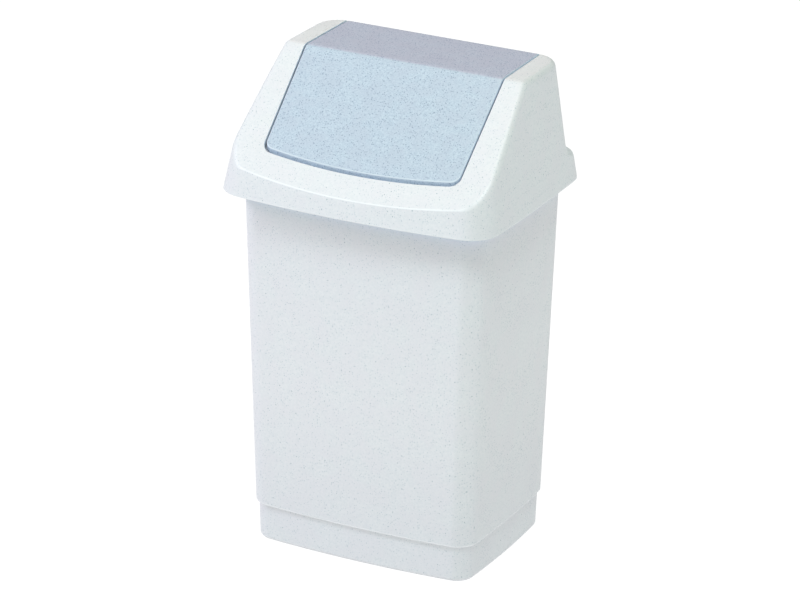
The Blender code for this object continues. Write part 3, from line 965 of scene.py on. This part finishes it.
def makePigmentSpecks():
    # dark specks of two sizes, a fine mottle and a slow drift of tint, moulded into a plastic
    tree, given, result = nodeGroup(
        "pigmentSpecks",
        [("Plastic", "Color"), ("Mottled Plastic", "Color"), ("Mottle Size", "Float"),
         ("Drift Tint", "Color"), ("Drift Share", "Float"), ("Drift Size", "Float"),
         ("Fine Pigment", "Color"), ("Fine Spacing", "Float"), ("Fine Radius", "Float"),
         ("Coarse Pigment", "Color"), ("Coarse Spacing", "Float"), ("Coarse Radius", "Float")],
        [("Colour", "Color"), ("Specks", "Float")])
    places = objectPlaces(tree)
    waver = noise(tree, places, given["Coarse Radius"], detail=1.0).outputs["Color"]
    waver = addNode(tree, "VectorMath", {0: waver, 1: [noiseMiddle] * 3}, operation="SUBTRACT")
    waver = addNode(tree, "VectorMath", {0: waver.outputs[0], "Scale": given["Coarse Radius"]},
                    operation="SCALE")
    wavered = addNode(tree, "VectorMath", {0: places, 1: waver.outputs[0]}, operation="ADD").outputs[0]
    mottle = noise(tree, places, given["Mottle Size"], detail=3.0).outputs["Fac"]
    mottle = eased(tree, mottle, *maskEnds["mottle"])
    colour = mixedColour(tree, mottle, given["Plastic"], given["Mottled Plastic"])
    drift = noise(tree, places, given["Drift Size"]).outputs["Fac"]
    drift = combined(tree, "MULTIPLY", eased(tree, drift, *maskEnds["drift"]), given["Drift Share"])
    colour = mixedColour(tree, drift, colour, given["Drift Tint"])
    fine = speckMask(tree, wavered, given["Fine Spacing"], given["Fine Radius"])
    colour = mixedColour(tree, fine, colour, given["Fine Pigment"])
    coarse = speckMask(tree, wavered, given["Coarse Spacing"], given["Coarse Radius"])
    colour = mixedColour(tree, coarse, colour, given["Coarse Pigment"])
    connect(tree, colour, result["Colour"])
    connect(tree, combined(tree, "MAXIMUM", fine, coarse), result["Specks"])
    return tree


def makeMouldedSkinAndShade():
    # the skin that a mould leaves: fine grain and slow waves; glossier edges, and masks for a painted
    # edge highlight, a painted shadow tint under overhangs and painted shade in narrow gaps
    tree, given, result = nodeGroup(
        "mouldedSkinAndShade",
        [("Grain Size", "Float"), ("Wave Size", "Float"), ("Wave Share", "Float"),
         ("Roughness", "Float"), ("Roughness Range", "Float"), ("Worn Roughness", "Float"),
         ("Edge Reach", "Float"), ("Shade Reach", "Float")],
        [("Height", "Float"), ("Roughness", "Float"), ("Edge", "Float"),
         ("Shade", "Float"), ("Seam", "Float")])
    places = objectPlaces(tree)
    grain = noise(tree, places, given["Grain Size"], detail=3.0).outputs["Fac"]
    wave = noise(tree, places, given["Wave Size"], detail=1.0).outputs["Fac"]
    raised = combined(tree, "MULTIPLY", wave, given["Wave Share"])
    connect(tree, combined(tree, "ADD", grain, raised), result["Height"])
    # convex edges: glossier here, and the finishes lighten them as a painted highlight
    solidness = addNode(tree, "AmbientOcclusion", {"Distance": given["Edge Reach"]},
                        samples=16, inside=True, only_local=True)
    edge = eased(tree, solidness.outputs["AO"], *maskEnds["edge"])
    connect(tree, edge, result["Edge"])
    handled = noise(tree, places, given["Wave Size"], detail=4.0).outputs["Fac"]
    variation = combined(tree, "SUBTRACT", handled, noiseMiddle)
    variation = combined(tree, "MULTIPLY", variation, given["Roughness Range"])
    rough = combined(tree, "ADD", given["Roughness"], variation)
    edgeHighlight = combined(tree, "MULTIPLY", edge, combined(tree, "SUBTRACT", given["Worn Roughness"], rough))
    connect(tree, combined(tree, "ADD", rough, edgeHighlight), result["Roughness"])
    # how closed in the outside is: masks for a painted shadow tint and for painted shade in narrow gaps
    openness = addNode(tree, "AmbientOcclusion", {"Distance": given["Shade Reach"]}, samples=8)
    connect(tree, eased(tree, openness.outputs["AO"], *maskEnds["shade"]), result["Shade"])
    connect(tree, eased(tree, openness.outputs["AO"], *maskEnds["gapShade"]), result["Seam"])
    return tree


pigmentSpecks = makePigmentSpecks()
mouldedSkinAndShade = makeMouldedSkinAndShade()

# What both plastics share
plasticSkin = {
    "Grain Size": 0.0009,
    "Wave Size": 0.0240,
    "Wave Share": 1.2,
    "Roughness Range": 0.16,
    "Edge Reach": 0.0019,
    "Shade Reach": 0.0450,
}
plasticFinish = {
    "lowShadeTint": (0.93, 0.935, 0.945, 1),     # painted shade, darker towards the floor
    "lowHeight": 0.22,
    "gapShadeShare": 0.9,
    "speckRoughness": 0.10,
    "bumpStrength": 0.35,
    "bumpDistance": 0.00012,
}
whiteFinish = {
    **plasticFinish,
    "specks": {
        "Plastic": (0.794, 0.814, 0.823, 1),
        "Mottled Plastic": (0.844, 0.854, 0.858, 1),
        "Mottle Size": 0.0026,
        "Drift Tint": (0.825, 0.810, 0.832, 1),
        "Drift Share": 0.45,
        "Drift Size": 0.026,
        "Fine Pigment": (0.55, 0.61, 0.64, 1),
        "Fine Spacing": 0.0021,
        "Fine Radius": 0.00051,
        "Coarse Pigment": (0.36, 0.44, 0.47, 1),
        "Coarse Spacing": 0.0050,
        "Coarse Radius": 0.00056,
    },
    "skin": {**plasticSkin, "Roughness": 0.40, "Worn Roughness": 0.22},
    # painted highlight: edges and marked creases are lightened towards this
    "highlightShade": (0.96, 0.97, 0.975, 1),
    "edgeHighlightShare": 0.2,
    "topShadeTint": (1.02, 0.98, 0.975, 1),    # painted shade on faces that look up
    # painted shadow: a bluish tint under overhangs such as the skirt
    "shadeTint": (0.940, 1.005, 1.10, 1),
    # painted shade in narrow gaps
    "seamShade": (0.07, 0.10, 0.17, 1),
}
blueFinish = {
    **plasticFinish,
    "specks": {
        "Plastic": (0.479, 0.580, 0.674, 1),
        "Mottled Plastic": (0.601, 0.695, 0.774, 1),
        "Mottle Size": 0.0016,
        "Drift Tint": (0.530, 0.600, 0.690, 1),
        "Drift Share": 0.5,
        "Drift Size": 0.018,
        "Fine Pigment": (0.22, 0.31, 0.43, 1),
        "Fine Spacing": 0.0019,
        "Fine Radius": 0.00056,
        "Coarse Pigment": (0.24, 0.32, 0.43, 1),
        "Coarse Spacing": 0.0040,
        "Coarse Radius": 0.00060,
    },
    "skin": {**plasticSkin, "Roughness": 0.42, "Worn Roughness": 0.24},
    # painted highlight: edges and the marked lower edge are lightened towards this
    "highlightShade": (0.72, 0.80, 0.86, 1),
    "edgeHighlightShare": 0.25,
    # painted shade on faces that look up
    "topShadeTint": (1.0, 0.86, 0.90, 1),
    # painted shadow tint under overhangs
    "shadeTint": (1.0, 1.0, 1.03, 1),
    # painted shade in narrow gaps
    "seamShade": (0.05, 0.07, 0.14, 1),
}


def speckledPlastic(name, finish):
    material = bpy.data.materials.new(name)
    material.use_nodes = True
    tree = material.node_tree
    shader = tree.nodes["Principled BSDF"]
    specks = groupNode(tree, pigmentSpecks, finish["specks"])
    skin = groupNode(tree, mouldedSkinAndShade, finish["skin"])
    # painted highlight: convex edges and marked creases lightened
    edgeHighlight = combined(tree, "MULTIPLY", skin["Edge"], finish["edgeHighlightShare"])
    highlightMark = addNode(tree, "Attribute", {}, attribute_name="paintedHighlight").outputs["Fac"]
    edgeHighlight = combined(tree, "MAXIMUM", edgeHighlight, highlightMark)
    colour = mixedColour(tree, edgeHighlight, specks["Colour"], finish["highlightShade"])
    # painted shade: faces that look up are tinted
    upwards = addNode(tree, "SeparateXYZ", {0: tree.nodes.new("ShaderNodeTexCoord").outputs["Normal"]})
    topShade = eased(tree, upwards.outputs["Z"], *maskEnds["topShade"])
    colour = mixedColour(tree, topShade, colour, finish["topShadeTint"], "MULTIPLY")
    # painted shade: the plastic darkens towards the floor
    height = addNode(tree, "SeparateXYZ", {0: objectPlaces(tree)}).outputs["Z"]
    high = eased(tree, height, 0.0, finish["lowHeight"])
    low = combined(tree, "SUBTRACT", 1.0, high)
    colour = mixedColour(tree, low, colour, finish["lowShadeTint"], "MULTIPLY")
    # painted shadow tint where the outside is closed in, faded out towards the floor
    shade = combined(tree, "MULTIPLY", skin["Shade"], high)
    colour = mixedColour(tree, shade, colour, finish["shadeTint"], "MULTIPLY")
    # painted shade: narrow gaps darkened
    gapShade = combined(tree, "MULTIPLY", skin["Seam"], finish["gapShadeShare"])
    connect(tree, mixedColour(tree, gapShade, colour, finish["seamShade"]), shader.inputs["Base Color"])
    dulled = combined(tree, "MULTIPLY", specks["Specks"], finish["speckRoughness"])
    connect(tree, combined(tree, "ADD", skin["Roughness"], dulled), shader.inputs["Roughness"])
    bump = addNode(tree, "Bump", {"Height": skin["Height"], "Strength": finish["bumpStrength"],
                                  "Distance": finish["bumpDistance"]})
    connect(tree, bump.outputs["Normal"], shader.inputs["Normal"])
    return material


plastics = {"white": speckledPlastic("whiteSpeckledPlastic", whiteFinish),
            "blue": speckledPlastic("blueSpeckledPlastic", blueFinish)}
print("finishes made")

for piece, body, finish in ((bucketShell, "bucket", "white"), (hoodShell, "hood", "white"),
                            (hoodGussets, "hood", "white"), (flapShell, "flap", "blue")):
    piece.data.materials.clear()
    piece.data.materials.append(plastics[finish])
    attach(piece, body)
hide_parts("bucket")
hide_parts("hood")
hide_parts("flap")


# Floor, light and camera

floorSizes = {"side": 12.0, "shade": (0.05, 0.05, 0.05, 1), "roughness": 0.9,
              "glowShade": (1, 1, 1, 1), "glow": 1.0}


def makeFloor():
    half = floorSizes["side"] / 2
    mesh = bpy.data.meshes.new("floor")
    mesh.from_pydata([(-half, -half, 0), (half, -half, 0), (half, half, 0), (-half, half, 0)], [],
                     [(0, 1, 2, 3)])
    plane = bpy.data.objects.new("floor", mesh)
    bpy.context.scene.collection.objects.link(plane)
    material = bpy.data.materials.new("whiteFloor")
    material.use_nodes = True
    shader = material.node_tree.nodes["Principled BSDF"]
    shader.inputs["Base Color"].default_value = floorSizes["shade"]
    shader.inputs["Roughness"].default_value = floorSizes["roughness"]
    shader.inputs["Emission Color"].default_value = floorSizes["glowShade"]
    shader.inputs["Emission Strength"].default_value = floorSizes["glow"]
    plane.data.materials.append(material)


makeFloor()

cameraSizes = {
    "azimuth": 26.859,
    "elevation": 21.910,
    "roll": 0.7595,
    "distance": 4.828,
    "lens": 207.0,
    "sensor": 36.0,
    "target": (0.0, 0.0054, 0.3025),
    "slideAcross": 0.001243,
    "slideUp": 0.03458,
    "sight": 50.0,
}


def directionTo(azimuth, elevation):
    # from the object, with an azimuth of 0 in front of it; both angles in radians
    return Vector((math.sin(azimuth) * math.cos(elevation), -math.cos(azimuth) * math.cos(elevation),
                   math.sin(elevation)))


def placeCamera():
    sizes = cameraSizes
    data = bpy.data.cameras.new("camera")
    data.lens = sizes["lens"]
    data.sensor_width = sizes["sensor"]
    data.clip_end = sizes["sight"]
    camera = bpy.data.objects.new("camera", data)
    bpy.context.scene.collection.objects.link(camera)
    azimuth, elevation, roll = (math.radians(sizes[key]) for key in ("azimuth", "elevation", "roll"))
    back = directionTo(azimuth, elevation)
    right = Vector((math.cos(azimuth), math.sin(azimuth), 0))
    up = back.cross(right)
    across = right * math.cos(roll) + up * math.sin(roll)
    upwards = up * math.cos(roll) - right * math.sin(roll)
    place = Vector(sizes["target"]) + back * sizes["distance"]
    place -= across * sizes["slideAcross"] + upwards * sizes["slideUp"]
    camera.matrix_world = Matrix((across, upwards, back)).transposed().to_4x4()
    camera.location = place
    bpy.context.scene.camera = camera


placeCamera()

lightSizes = {                  # azimuth and elevation in degrees, distance, width, power, colour
    "leftLight": (-60, 35, 5.0, 2.0, 90, (0.86, 0.80, 1.0)),
    "keyLight": (30, 60, 5.0, 1.5, 98, (0.88, 1.0, 1.0)),
    "topLight": (0, 88, 4.0, 2.5, 38, (1.0, 0.80, 0.56)),
}
lightAim = (0.0, 0.0, 0.3)
worldShade = (0.235, 0.295, 0.295, 1)


def makeLights():
    aim = Vector(lightAim)
    for name, (azimuth, elevation, distance, width, power, colour) in lightSizes.items():
        data = bpy.data.lights.new(name, "AREA")
        data.shape = "DISK"
        data.size = width
        data.energy = power
        data.color = colour
        light = bpy.data.objects.new(name, data)
        light.location = aim + distance * directionTo(math.radians(azimuth), math.radians(elevation))
        light.rotation_euler = (aim - light.location).to_track_quat("-Z", "Y").to_euler()
        bpy.context.scene.collection.objects.link(light)
    world = bpy.data.worlds.new("studio")
    world.use_nodes = True
    world.node_tree.nodes["Background"].inputs["Color"].default_value = worldShade
    bpy.context.scene.world = world


makeLights()

bpy.context.scene.view_settings.view_transform = "Standard"

print("scene ready")
